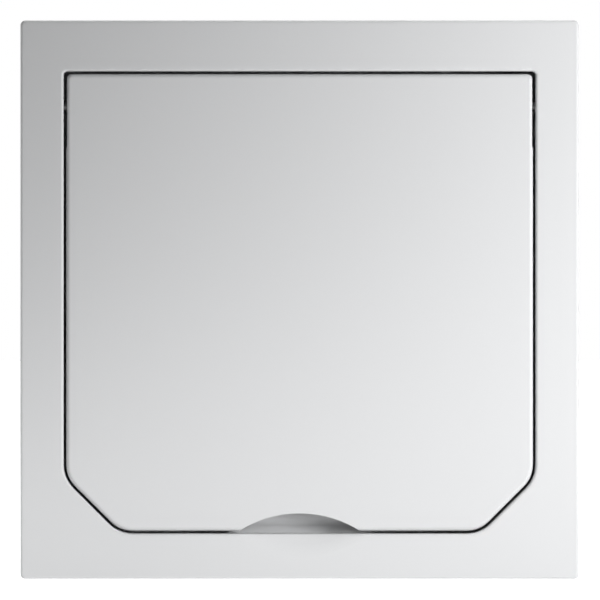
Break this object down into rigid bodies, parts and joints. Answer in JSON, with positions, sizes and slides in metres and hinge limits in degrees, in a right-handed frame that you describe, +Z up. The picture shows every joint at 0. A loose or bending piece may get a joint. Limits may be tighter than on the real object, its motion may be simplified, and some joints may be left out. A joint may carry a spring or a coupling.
{
  "type": "hinged-lid socket outlet",
  "caption": "Flush wall socket outlet with a square cover plate and a sprung flush lid that swings up from a finger notch over a round plug well.",
  "frame": {"origin": "on the wall plane (rear face of the mounting ring), on the axis of the plug well", "axes": "+Z up, +X to the right seen from the front, +Y into the wall, so the lid faces -Y"},
  "size_m": [0.0706, 0.0464, 0.0706],
  "materials": {
    "satin_lacquer": "satin aluminium-coloured lacquer on moulded plastic",
    "well_plastic": "satin moulded plastic, aluminium grey",
    "base_plastic": "off-white moulded thermoset",
    "shutter_plastic": "plain grey moulded plastic",
    "zinc_steel": "zinc-plated steel",
    "bright_pin": "bright drawn steel",
    "spring_wire": "stainless spring steel",
    "contact_brass": "bright rolled brass",
    "button_plastic": "orange moulded plastic"
  },
  "bodies": {
    "housing": {"cover_plate": "satin_lacquer", "hinge_pin": "bright_pin", "lid_spring_left": "spring_wire", "lid_spring_right": "spring_wire", "socket_well": "well_plastic", "centre_screw": "zinc_steel", "mounting_ring": "zinc_steel", "contact_base": "base_plastic", "rear_cover": "base_plastic", "rear_cover_screws": "zinc_steel", "line_contact": "contact_brass", "neutral_contact": "contact_brass", "earth_bracket": "contact_brass", "line_clamp": "spring_wire", "earth_clamp": "spring_wire", "neutral_clamp": "spring_wire", "shutter_spring": "spring_wire"},
    "lid": {"lid": "satin_lacquer"},
    "shutter": {"shutter": "shutter_plastic"},
    "line_button": {"line_release_button": "button_plastic"},
    "earth_button": {"earth_release_button": "button_plastic"},
    "neutral_button": {"neutral_release_button": "button_plastic"},
    "claw_left": {"claw_left": "zinc_steel"},
    "claw_screw_left": {"claw_screw_left": "zinc_steel"},
    "claw_right": {"claw_right": "zinc_steel"},
    "claw_screw_right": {"claw_screw_right": "zinc_steel"}
  },
  "joints": [
    {"name": "lid_hinge", "type": "hinge", "parent": "housing", "child": "lid", "pos_m": [0, -0.0099, 0.0245], "axis": [-1, 0, 0], "range_deg": [0, 105], "stiffness_Nm_per_rad": 0.005, "springref_deg": -57.3, "deforming": ["lid_spring_left", "lid_spring_right"]},
    {"name": "shutter_turn", "type": "hinge", "parent": "housing", "child": "shutter", "pos_m": [0, 0.0121, 0], "axis": [0, 1, 0], "range_deg": [0, 40], "stiffness_Nm_per_rad": 0.001, "springref_deg": -28.65, "deforming": ["shutter_spring"]},
    {"name": "line_button_slide", "type": "slide", "parent": "housing", "child": "line_button", "axis": [0, -1, 0], "range_m": [0, 0.0012], "stiffness_N_per_m": 3000, "springref_m": -0.001, "deforming": ["line_clamp"]},
    {"name": "earth_button_slide", "type": "slide", "parent": "housing", "child": "earth_button", "axis": [0, -1, 0], "range_m": [0, 0.0012], "stiffness_N_per_m": 3000, "springref_m": -0.001, "deforming": ["earth_clamp"]},
    {"name": "neutral_button_slide", "type": "slide", "parent": "housing", "child": "neutral_button", "axis": [0, -1, 0], "range_m": [0, 0.0012], "stiffness_N_per_m": 3000, "springref_m": -0.001, "deforming": ["neutral_clamp"]},
    {"name": "claw_screw_left_turn", "type": "hinge", "parent": "housing", "child": "claw_screw_left", "pos_m": [-0.0246, 0, 0.0066], "axis": [0, 1, 0], "range_deg": [0, 415]},
    {"name": "claw_left_swing", "type": "hinge", "parent": "housing", "child": "claw_left", "pos_m": [-0.0224, 0.017, 0.0066], "axis": [0, 0, 1], "range_deg": [0, 15]},
    {"name": "claw_screw_right_turn", "type": "hinge", "parent": "housing", "child": "claw_screw_right", "pos_m": [0.0246, 0, -0.0066], "axis": [0, 1, 0], "range_deg": [0, 415]},
    {"name": "claw_right_swing", "type": "hinge", "parent": "housing", "child": "claw_right", "pos_m": [0.0224, 0.017, -0.0066], "axis": [0, 0, -1], "range_deg": [0, 15]}
  ],
  "couplings": [
    {"joint": "claw_left_swing", "follows": "claw_screw_left_turn", "ratio": 0.0361},
    {"joint": "claw_right_swing", "follows": "claw_screw_right_turn", "ratio": 0.0361}
  ]
}
